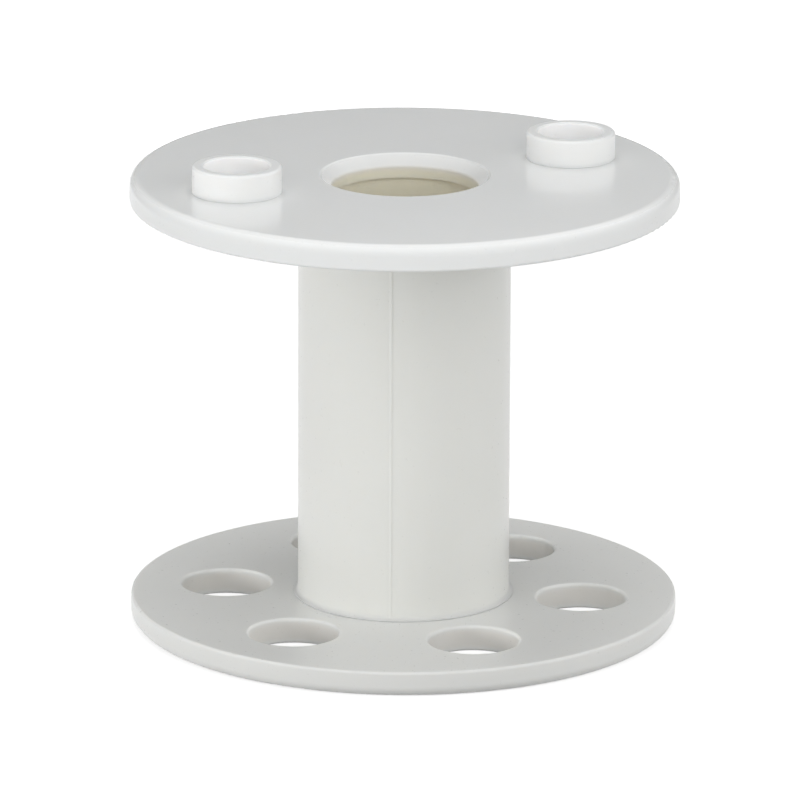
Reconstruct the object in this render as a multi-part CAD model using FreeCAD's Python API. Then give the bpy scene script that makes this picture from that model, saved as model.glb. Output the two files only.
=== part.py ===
import FreeCAD, Part
import os

# Empty moulded bobbin in three pieces: two flanges that snap into the ends of a barrel.
# Millimetres. The origin is the centre of the bottom flange's underside, +Z runs up the
# spindle axis, and the two pegs stand on the X axis.

# Flanges
flange_diameter = 63.5
top_thickness = 3.0
bottom_thickness = 3.0
outside_round = 1.2              # rim edge on the outside face
winding_round = 0.35             # rim edge on the winding side

# Spindle bore, the same in both flanges
bore_diameter = 17.0
bore_chamfer = 1.3               # at the outside face
bore_edge_round = 0.3            # softens both corners of that chamfer
bore_undercut = 0.3              # how far the snap ring's hollow reaches up into the plate

# Stacking pegs and the holes of the next bobbin that take them
pitch_diameter = 41.7
peg_count = 2
peg_diameter = 10.3
peg_height = 3.15
peg_top_round = 0.35
pocket_diameter = 7.6            # hollow in each peg
pocket_chamfer = 0.2
pocket_depth = 2.4
hole_count = 6
hole_clearance = 0.05            # all round a peg
hole_round = 0.35                # edge on the winding side
hole_chamfer = 0.2               # edge on the underside

# Snap ring under each flange, which plugs into the barrel
joint_clearance = 0.1
ring_step = 0.5                  # from the wall of the bore out to the inside of the ring
ring_wall = 1.2
ring_band = 2.4                  # unslotted part next to the flange
ring_lead = 0.8                  # straight part between the bead and the tip's chamfer
ring_tip_chamfer = 0.5
bead_height = 0.35               # how far the bead stands out of the ring
bead_width = 1.4
bead_distance = 4.0              # from the flange's face to the middle of the bead
slot_width = 2.0
slot_count = 4
key_count = 2                    # barrel ribs that enter the slots and set the angle

# Barrel
traverse = 47.1                  # winding length between the flanges
barrel_wall = 2.0
flare_radius = 0.5               # fillet at each end
flare_edge = 0.12                # thickness left at the fillet's thin edge
parting_angle = 60.0             # of the mould's parting line, and its twin opposite
parting_width = 0.3
parting_height = 0.06

overrun = 1.0                    # how far a cutting tool runs past a face
cut_tolerance = 0.0001           # lets a hole be cut that all but touches the rim's round

# Worked-out sizes, from the axis outward: the ring clears the bore and the barrel clears the ring
bore_radius = bore_diameter / 2
ring_inner = bore_radius + ring_step
ring_outer = ring_inner + ring_wall
barrel_bore = ring_outer + joint_clearance
barrel_diameter = 2 * (barrel_bore + barrel_wall)
barrel_radius = barrel_diameter / 2
barrel_middle = barrel_radius - barrel_wall / 2
flange_radius = flange_diameter / 2
pitch_radius = pitch_diameter / 2
peg_radius = peg_diameter / 2
pocket_radius = pocket_diameter / 2
hole_radius = peg_radius + hole_clearance

# Worked-out sizes, along the axis
bead_start = bead_distance - bead_width / 2
bead_end = bead_distance + bead_width / 2
ring_length = bead_end + ring_lead + ring_tip_chamfer
barrel_bottom = bottom_thickness
barrel_top = barrel_bottom + traverse
peg_tip = top_thickness + peg_height
pocket_floor = peg_tip - pocket_depth

Z = FreeCAD.Vector(0, 0, 1)
CENTRE = FreeCAD.Vector(0, 0, 0)


def cylinder(radius, low, high):
    return Part.makeCylinder(radius, high - low, FreeCAD.Vector(0, 0, low))


def turned(outline):
    """Turn a closed outline of (radius, height) corners into a solid round the axis."""
    corners = [FreeCAD.Vector(r, 0, z) for r, z in outline]
    wire = Part.makePolygon(corners + corners[:1])
    return Part.Face(wire).revolve(CENTRE, Z, 360)


def radial_block(inner, outer, width, low, high, angle):
    """A straight block that runs outward from inner to outer radius at one angle."""
    block = Part.makeBox(outer - inner, width, high - low, FreeCAD.Vector(inner, -width / 2, low))
    return block.rotate(CENTRE, Z, angle)


def around(count, first_angle=0.0):
    """Evenly spaced angles, in degrees."""
    return [first_angle + 360.0 / count * i for i in range(count)]


def on_pitch_circle(feature, count, first_angle=0.0):
    """Copies of a feature drawn on the axis, set round the pitch circle."""
    copies = []
    for angle in around(count, first_angle):
        copy = feature.copy()
        copy.translate(FreeCAD.Vector(pitch_radius, 0, 0))
        copies.append(copy.rotate(CENTRE, Z, angle))
    return copies


def edge_at(shape, radius, height):
    """The circular edge round the axis at one radius and height."""
    def miss(edge):
        return abs(edge.Curve.Radius - radius) + abs(edge.Curve.Center.z - height)

    return min((edge for edge in shape.Edges if isinstance(edge.Curve, Part.Circle)), key=miss)


def plate(thickness):
    """A disc on z = 0 with its outside face up, bored for the spindle."""
    mouth = bore_radius + bore_chamfer
    step = thickness - bore_chamfer
    bore = turned([
        (0, -overrun),
        (bore_radius, -overrun),
        (bore_radius, step),
        (mouth, thickness),
        (mouth, thickness + overrun),
        (0, thickness + overrun),
    ])
    disc = cylinder(flange_radius, 0, thickness).cut(bore)
    corners = [edge_at(disc, mouth, thickness), edge_at(disc, bore_radius, step)]
    return disc.makeFillet(bore_edge_round, corners)


def snap_ring():
    """The slotted ring that hangs below a plate, with its bead and key slots."""
    bead_outer = ring_outer + bead_height
    ring = turned([
        (ring_inner, bore_undercut),
        (ring_outer, bore_undercut),
        (ring_outer, -bead_start),
        (bead_outer, -bead_start - bead_height),
        (bead_outer, -bead_end + bead_height),
        (ring_outer, -bead_end),
        (ring_outer, -ring_length + ring_tip_chamfer),
        (ring_outer - ring_tip_chamfer, -ring_length),
        (ring_inner, -ring_length),
    ])
    for angle in around(slot_count):
        slot = radial_block(0, barrel_radius, slot_width, -ring_length - overrun, -ring_band, angle)
        ring = ring.cut(slot)
    return ring


def flange(thickness):
    """A bored plate with its rim edges rounded and its snap ring below it."""
    body = plate(thickness)
    body = body.makeFillet(outside_round, [edge_at(body, flange_radius, thickness)])
    body = body.makeFillet(winding_round, [edge_at(body, flange_radius, 0)])
    hollow = cylinder(ring_inner, -overrun, bore_undercut)
    return body.cut(hollow).fuse(snap_ring())


def peg():
    post = cylinder(peg_radius, top_thickness - overrun, peg_tip)
    return post.makeFillet(peg_top_round, [edge_at(post, peg_radius, peg_tip)])


def peg_pocket():
    """The space inside a peg, open at its tip."""
    mouth = pocket_radius + pocket_chamfer
    return turned([
        (0, pocket_floor),
        (pocket_radius, pocket_floor),
        (pocket_radius, peg_tip - pocket_chamfer),
        (mouth, peg_tip),
        (mouth, peg_tip + overrun),
        (0, peg_tip + overrun),
    ])


def peg_hole():
    """The space that a peg drops into, with its two edges eased."""
    above = hole_radius + hole_round + overrun
    mouth = hole_radius + hole_chamfer
    space = turned([
        (0, -overrun),
        (above, -overrun),
        (above, 0),
        (hole_radius, 0),
        (hole_radius, bottom_thickness - hole_chamfer),
        (mouth, bottom_thickness),
        (mouth, bottom_thickness + overrun),
        (0, bottom_thickness + overrun),
    ])
    return space.makeFillet(hole_round, [edge_at(space, hole_radius, 0)])


def make_top_flange():
    body = flange(top_thickness)
    body = body.fuse(on_pitch_circle(peg(), peg_count))
    body = body.cut(on_pitch_circle(peg_pocket(), peg_count))
    body = body.removeSplitter()
    body.translate(Z * barrel_top)
    return body


def make_bottom_flange():
    body = flange(bottom_thickness)
    # The first hole is half a step round, which puts the pegs midway between holes
    body = body.cut(on_pitch_circle(peg_hole(), hole_count, 180.0 / hole_count), cut_tolerance)
    body = body.removeSplitter()
    # The plate is drawn with its outside face up, so the bottom one is turned over
    body = body.rotate(CENTRE, FreeCAD.Vector(1, 0, 0), 180)
    body.translate(Z * barrel_bottom)
    return body


def groove():
    """The ring of space that one snap bead clicks into, measured up from the barrel's end."""
    low = bead_start - joint_clearance
    high = bead_end + joint_clearance
    depth = bead_height + joint_clearance
    floor = ring_outer + depth
    return turned([
        (ring_outer, low),
        (floor, low + depth),
        (floor, high - depth),
        (ring_outer, high),
    ])


def flare():
    """The fillet round one end of the barrel, which closes the corner with the flange."""
    edge = barrel_radius + flare_radius
    height = flare_edge + flare_radius
    ring = cylinder(edge, 0, height).cut(cylinder(barrel_middle, 0, height))
    return ring.cut(Part.makeTorus(edge, flare_radius, Z * height))


def barrel_end():
    """What one end adds to the tube: the flare and the key ribs."""
    added = flare()
    width = slot_width - 2 * joint_clearance
    low = ring_band + joint_clearance
    for angle in around(key_count, 90.0):
        rib = radial_block(ring_inner, barrel_middle, width, low, ring_length, angle)
        added = added.fuse(rib)
    return added


def at_both_ends(feature):
    """A feature of the barrel's lower end, and its mirror at the upper end."""
    upper = feature.mirror(Z * (traverse / 2), Z)
    return feature, upper


def make_barrel():
    tube = cylinder(barrel_radius, 0, traverse)
    tube = tube.cut(cylinder(barrel_bore, -overrun, traverse + overrun))
    for space in at_both_ends(groove()):
        tube = tube.cut(space)
    for added in at_both_ends(barrel_end()):
        tube = tube.fuse(added)
    for angle in around(2, parting_angle):
        outer = barrel_radius + parting_height
        ridge = radial_block(barrel_middle, outer, parting_width, 0, traverse, angle)
        tube = tube.fuse(ridge)
    tube = tube.removeSplitter()
    tube.translate(Z * barrel_bottom)
    return tube


def as_solid(shape):
    """A boolean result of one piece, as a plain solid."""
    return shape.Solids[0] if len(shape.Solids) == 1 else shape


PIECES = {
    "bottom_flange": make_bottom_flange,
    "barrel": make_barrel,
    "top_flange": make_top_flange,
}

os.makedirs("parts", exist_ok=True)
for name, make in PIECES.items():
    as_solid(make()).exportStep(f"parts/{name}.step")
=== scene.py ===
import bpy
import math
from mathutils import Matrix, Vector

# The looks of an empty moulded bobbin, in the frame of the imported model. Lengths are in metres
# and angles in degrees. Z = 0 is the bottom flange's underside, +Z runs up the spindle axis,
# and the two pegs stand on the X axis.

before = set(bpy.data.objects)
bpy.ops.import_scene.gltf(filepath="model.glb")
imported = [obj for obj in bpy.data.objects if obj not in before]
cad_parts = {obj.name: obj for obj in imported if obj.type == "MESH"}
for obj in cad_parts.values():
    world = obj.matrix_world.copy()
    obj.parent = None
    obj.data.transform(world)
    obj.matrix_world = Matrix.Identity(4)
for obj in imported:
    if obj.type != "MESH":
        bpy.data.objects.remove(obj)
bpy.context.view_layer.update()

# Camera: the photograph's view, measured from the outline of both flanges
CAMERA_AZIMUTH = -22.76
CAMERA_ELEVATION = 16.22
CAMERA_DISTANCE = 1.1253
CAMERA_ROLL = 0.204                     # turns the picture clockwise
CAMERA_AIM = Vector((0, 0, 0.0254))
CAMERA_SLIDE = (-0.00047, 0.000577)     # of camera and aim, along the picture's right and up
CAMERA_RANGE = (0.01, 20.0)
LENS = 436.4                            # in millimetres, as the sensor is
SENSOR = 36.0

# Lamps: rectangles that face LAMP_AIM
# name: (turn from the camera's azimuth, elevation, distance, width, height, watts)
LAMPS = {
    "left": (-66, 4, 0.50, 0.22, 0.15, 0.960),
    "right": (78, 7, 0.50, 0.30, 0.30, 0.580),
    "front": (0, 8, 0.80, 0.50, 0.30, 0.300),
    "front_near": (0, 36, 0.16, 0.24, 0.12, 0.082),
    "right_near": (38, 28, 0.17, 0.12, 0.12, 0.036),
    "overhead": (180, 74, 0.50, 0.30, 0.30, 0.920),
}
LAMP_AIM = Vector((0, 0, 0.028))
AMBIENT = 0.30                          # how much light the white world gives

# Floor: it glows by itself besides being lit. Near the object it glows less, so that the
# shadow shows, and further off it is white without any lamp.
FLOOR_REACH = 3.0
FLOOR_DROP = 0.00002                    # below the object's underside
FLOOR_TONE = (0.5, 0.5, 0.5)
FLOOR_NEAR = 0.10
FLOOR_FAR = 0.40
GLOW_NEAR = 0.7
GLOW_FAR = 1.0

# A grey wall all round the object that only its gloss sees
FLAG_RADIUS = 0.6
FLAG_HEIGHT = 0.45
FLAG_SIDES = 48
FLAG_TONE = (0.2, 0.2, 0.2)

# Colours of the three mouldings, where the barrel's and the bottom flange's warmer whites are
# painted bounce light between the plates,
# and tints that paint light and shade: glow where light passes through a thin wall, warm light
# coming back from inside the bore, shade in the holes
WHITES_AND_PAINTED_BOUNCE = {
    "top_flange": (0.846, 0.857, 0.852),
    "barrel": (0.850, 0.854, 0.822),
    "bottom_flange": (0.848, 0.853, 0.833),
}
# painted glow on the pegs' walls
PEG_PAINTED_GLOW = (0.88, 0.884, 0.875)
# painted light inside the pegs' pockets
POCKET_PAINTED_GLOW = (0.985, 0.985, 0.980)
BORE_PAINTED_WARM_LIGHT = (0.965, 0.915, 0.78)        # painted warm light inside the plates
DEEP_PAINTED_WARM_LIGHT = (0.985, 0.905, 0.770)       # painted warm light inside the barrel
# painted shade on the holes' walls
HOLE_PAINTED_SHADE = (0.83, 0.815, 0.78)

# Where those places are. A pair is the start and the end of a change. A four is the heights at
# which a tint starts to come in, is full, starts to go out and is gone.
BORE_REACH = 0.0109                     # all that is nearer the axis is inside
BORE_DEPTH = (0.0010, 0.0022)           # below each outside face
PLATE_DEPTH = (0.0026, 0.0034)          # where the plate's bore ends and the barrel's begins
HOLE_REACH = 0.0270                     # the holes lie nearer the axis than this
HOLE_WALL = (0.0002, 0.0008, 0.0021, 0.0028)
TOP_FACE = 0.0531
PEG_WALL = (0.0532, 0.0536, 0.0559, 0.0561)
PEG_OUT = 0.02085                       # how far out on the X axis each peg stands
POCKET_REACH = 0.00385                  # from a peg's own axis

# The plastic's mottle, grain and gloss
MOTTLE = 0.015                          # how far the colour strays from its white, as a share
MOTTLE_SCALE = 90.0
GRAIN_SCALE = 2600.0
ROUGHNESS = (0.25, 0.33)
BUMP_STRENGTH = 0.25
BUMP_DEPTH = 0.00002
POLISH = 0.10                           # how much smoother the top face is than the rest
POLISHED_FACE = (0.05280, 0.05308, 0.05312, 0.05314)
IOR = 1.5
SCATTER_RADIUS = (1.0, 0.97, 0.93)      # of red, green and blue, times the depth
SCATTER_DEPTH = 0.0005


def direction(azimuth, elevation):
    """The unit vector toward a place seen from the origin; azimuth 0 is the front, -Y."""
    a = math.radians(azimuth)
    e = math.radians(elevation)
    return Vector((math.sin(a) * math.cos(e), -math.cos(a) * math.cos(e), math.sin(e)))


def look_matrix(place, aim, roll=0.0):
    """A camera's or lamp's matrix: it stands at place and looks at aim."""
    back = (place - aim).normalized()
    right = Vector((0, 0, 1)).cross(back).normalized()
    up = back.cross(right)
    turn = Matrix.Rotation(math.radians(roll), 3, back)
    matrix = Matrix((turn @ right, turn @ up, back)).transposed().to_4x4()
    matrix.translation = place
    return matrix


def add_camera():
    data = bpy.data.cameras.new("camera")
    data.lens = LENS
    data.sensor_width = SENSOR
    data.clip_start, data.clip_end = CAMERA_RANGE
    toward = direction(CAMERA_AZIMUTH, CAMERA_ELEVATION)
    level = look_matrix(CAMERA_AIM + toward, CAMERA_AIM)
    right = level.col[0].to_3d()
    up = level.col[1].to_3d()
    aim = CAMERA_AIM + right * CAMERA_SLIDE[0] + up * CAMERA_SLIDE[1]
    camera = bpy.data.objects.new("camera", data)
    camera.matrix_world = look_matrix(aim + toward * CAMERA_DISTANCE, aim, CAMERA_ROLL)
    bpy.context.scene.collection.objects.link(camera)
    bpy.context.scene.camera = camera


def add_lamps():
    for name, (turn, elevation, distance, width, height, watts) in LAMPS.items():
        data = bpy.data.lights.new(name, "AREA")
        data.shape = "RECTANGLE"
        data.size = width
        data.size_y = height
        data.energy = watts
        lamp = bpy.data.objects.new(name, data)
        place = LAMP_AIM + direction(CAMERA_AZIMUTH + turn, elevation) * distance
        lamp.matrix_world = look_matrix(place, LAMP_AIM)
        lamp.visible_camera = False
        lamp.visible_glossy = False
        bpy.context.scene.collection.objects.link(lamp)


def opaque(colour):
    return colour + (1,)


class Nodes:
    """A short way to add and join shader nodes."""

    def __init__(self, tree):
        self.tree = tree
        tree.nodes.clear()

    def add(self, kind, **inputs):
        node = self.tree.nodes.new(kind)
        for name, value in inputs.items():
            self.put(node, name.replace("_", " "), value)
        return node

    def put(self, node, name, value):
        socket = node.inputs[name]
        if isinstance(value, bpy.types.NodeSocket):
            self.tree.links.new(value, socket)
        else:
            socket.default_value = value

    def math(self, operation, a, b=0.0, clamp=False):
        node = self.tree.nodes.new("ShaderNodeMath")
        node.operation = operation
        node.use_clamp = clamp
        self.put(node, 0, a)
        self.put(node, 1, b)
        return node.outputs[0]

    def length(self, x, y):
        """The length of a flat vector."""
        squares = self.math("ADD", self.math("MULTIPLY", x, x), self.math("MULTIPLY", y, y))
        return self.math("SQRT", squares)

    def ramp(self, value, low, high, first=0.0, last=1.0):
        """first below low and last above high, with a smooth step between."""
        node = self.add("ShaderNodeMapRange", Value=value)
        node.interpolation_type = "SMOOTHSTEP"
        self.put(node, "From Min", low)
        self.put(node, "From Max", high)
        self.put(node, "To Min", first)
        self.put(node, "To Max", last)
        return node.outputs[0]

    def band(self, value, low, full, last, high):
        """1 between full and last, with a smooth step down to 0 at low and at high."""
        rise = self.ramp(value, low, full)
        fall = self.math("SUBTRACT", 1.0, self.ramp(value, last, high))
        return self.math("MULTIPLY", rise, fall)

    def mix(self, factor, first, second):
        """first where the factor is 0 and second where it is 1."""
        node = self.add("ShaderNodeMix")
        node.data_type = "RGBA"
        factor_in, first_in, second_in, colour_out = 0, 6, 7, 2
        self.put(node, factor_in, factor)
        self.put(node, first_in, first)
        self.put(node, second_in, second)
        return node.outputs[colour_out]

    def seen(self):
        """1 where the camera, a reflection or a view through glass meets the surface."""
        path = self.tree.nodes.new("ShaderNodeLightPath")
        either = self.math("ADD", path.outputs["Is Camera Ray"], path.outputs["Is Glossy Ray"])
        return self.math("ADD", either, path.outputs["Is Transmission Ray"], clamp=True)


def new_material(name):
    material = bpy.data.materials.new(name)
    material.use_nodes = True
    return material, Nodes(material.node_tree)


def set_world():
    """White where it is seen, and a weaker white as the light of the room."""
    world = bpy.data.worlds.new("studio")
    world.use_nodes = True
    n = Nodes(world.node_tree)
    room = n.add("ShaderNodeBackground", Color=(1, 1, 1, 1), Strength=AMBIENT)
    white = n.add("ShaderNodeBackground", Color=(1, 1, 1, 1), Strength=1.0)
    either = n.add("ShaderNodeMixShader", Fac=n.seen())
    n.put(either, 1, room.outputs[0])
    n.put(either, 2, white.outputs[0])
    n.add("ShaderNodeOutputWorld", Surface=either.outputs[0])
    bpy.context.scene.world = world


def add_stage(name, corners, faces, material):
    """A piece of the studio, which isn't part of the object."""
    mesh = bpy.data.meshes.new(name)
    mesh.from_pydata(corners, [], faces)
    mesh.materials.append(material)
    piece = bpy.data.objects.new(name, mesh)
    bpy.context.scene.collection.objects.link(piece)
    return piece


def add_floor():
    material, n = new_material("floor_white")
    lit = n.add("ShaderNodeBsdfDiffuse", Color=opaque(FLOOR_TONE))
    coords = n.add("ShaderNodeTexCoord").outputs["Object"]
    away = n.add("ShaderNodeVectorMath", Vector=coords)
    away.operation = "LENGTH"
    own = n.ramp(away.outputs["Value"], FLOOR_NEAR, FLOOR_FAR, GLOW_NEAR, GLOW_FAR)
    strength = n.math("MULTIPLY", n.seen(), own)
    glow = n.add("ShaderNodeEmission", Color=(1, 1, 1, 1), Strength=strength)
    both = n.add("ShaderNodeAddShader")
    n.put(both, 0, lit.outputs[0])
    n.put(both, 1, glow.outputs[0])
    n.add("ShaderNodeOutputMaterial", Surface=both.outputs[0])

    r = FLOOR_REACH
    corners = [(-r, -r, 0), (r, -r, 0), (r, r, 0), (-r, r, 0)]
    floor = add_stage("floor", corners, [(0, 1, 2, 3)], material)
    floor.location.z = -FLOOR_DROP


def add_flags():
    material, n = new_material("flag_grey")
    glow = n.add("ShaderNodeEmission", Color=opaque(FLAG_TONE), Strength=1.0)
    n.add("ShaderNodeOutputMaterial", Surface=glow.outputs[0])

    corners = []
    faces = []
    for i in range(FLAG_SIDES):
        angle = math.tau * i / FLAG_SIDES
        x = FLAG_RADIUS * math.cos(angle)
        y = FLAG_RADIUS * math.sin(angle)
        corners += [(x, y, 0), (x, y, FLAG_HEIGHT)]
        low = 2 * i
        next_low = 2 * ((i + 1) % FLAG_SIDES)
        faces.append((low, next_low, next_low + 1, low + 1))
    flags = add_stage("grey_flags", corners, faces, material)
    flags.visible_camera = False
    flags.visible_diffuse = False
    flags.visible_shadow = False
    flags.visible_transmission = False


def plastic_colour(n, coords, place, white):
    """A mottled white, with painted shade in the holes, painted warm light in the bore and a
    painted glow on the pegs' walls and in their pockets.
    """
    x, y, z = place
    radius = n.length(x, y)

    mottle = n.add("ShaderNodeTexNoise", Vector=coords, Scale=MOTTLE_SCALE, Detail=2.0)
    darker = tuple((1 - MOTTLE) * c for c in white)
    lighter = tuple((1 + MOTTLE) * c for c in white)
    colour = n.mix(mottle.outputs["Fac"], opaque(darker), opaque(lighter))

    # painted shade: the holes' walls are darker and warmer, as in the shade of the recess
    near_hole = n.math("LESS_THAN", radius, HOLE_REACH)
    in_hole = n.math("MULTIPLY", near_hole, n.band(z, *HOLE_WALL))
    colour = n.mix(in_hole, colour, opaque(HOLE_PAINTED_SHADE))

    # painted warm light: the bore's walls are lighter and warmer, standing in for light bounced
    # and passed through the plastic, warmest deep in the barrel
    depth = n.math("MINIMUM", z, n.math("SUBTRACT", TOP_FACE, z))
    near_axis = n.math("LESS_THAN", radius, BORE_REACH)
    in_bore = n.math("MULTIPLY", near_axis, n.ramp(depth, *BORE_DEPTH))
    painted_warm_light = n.mix(n.ramp(depth, *PLATE_DEPTH), opaque(BORE_PAINTED_WARM_LIGHT), opaque(DEEP_PAINTED_WARM_LIGHT))
    colour = n.mix(in_bore, colour, painted_warm_light)

    # painted glow: the pegs' walls are lighter, standing in for light passing through their thin
    # walls
    colour = n.mix(n.band(z, *PEG_WALL), colour, opaque(PEG_PAINTED_GLOW))
    # painted light: the pegs' pockets are near white, standing in for light inside them
    from_peg = n.length(n.math("SUBTRACT", n.math("ABSOLUTE", x), PEG_OUT), y)
    near_peg = n.math("LESS_THAN", from_peg, POCKET_REACH)
    in_pocket = n.math("MULTIPLY", near_peg, n.math("GREATER_THAN", z, PEG_WALL[0]))
    return n.mix(in_pocket, colour, opaque(POCKET_PAINTED_GLOW))


def moulded_plastic(name, white):
    material, n = new_material(name)
    coords = n.add("ShaderNodeTexCoord").outputs["Object"]
    place = n.add("ShaderNodeSeparateXYZ", Vector=coords).outputs
    colour = plastic_colour(n, coords, place, white)

    grain = n.add("ShaderNodeTexNoise", Vector=coords, Scale=GRAIN_SCALE, Detail=3.0)
    rough = n.add("ShaderNodeMapRange", Value=grain.outputs["Fac"])
    n.put(rough, "To Min", ROUGHNESS[0])
    n.put(rough, "To Max", ROUGHNESS[1])
    polished = n.math("MULTIPLY", n.band(place["Z"], *POLISHED_FACE), POLISH)
    roughness = n.math("SUBTRACT", rough.outputs[0], polished)
    bump = n.add("ShaderNodeBump", Height=grain.outputs["Fac"])
    n.put(bump, "Strength", BUMP_STRENGTH)
    n.put(bump, "Distance", BUMP_DEPTH)

    bsdf = n.add("ShaderNodeBsdfPrincipled", Roughness=roughness, IOR=IOR)
    n.put(bsdf, "Base Color", colour)
    n.put(bsdf, "Normal", bump.outputs[0])
    n.put(bsdf, "Subsurface Weight", 1.0)
    n.put(bsdf, "Subsurface Radius", SCATTER_RADIUS)
    n.put(bsdf, "Subsurface Scale", SCATTER_DEPTH)
    n.add("ShaderNodeOutputMaterial", Surface=bsdf.outputs[0])
    return material


def dress():
    """Give each moulding its own plastic."""
    # the barrel's and the bottom flange's warmer whites are painted bounce light
    for name, white in WHITES_AND_PAINTED_BOUNCE.items():
        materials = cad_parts[name].data.materials
        materials.clear()
        materials.append(moulded_plastic(name + "_white", white))


bpy.context.scene.view_settings.view_transform = "Standard"
add_camera()
add_lamps()
set_world()
add_floor()
add_flags()
dress()
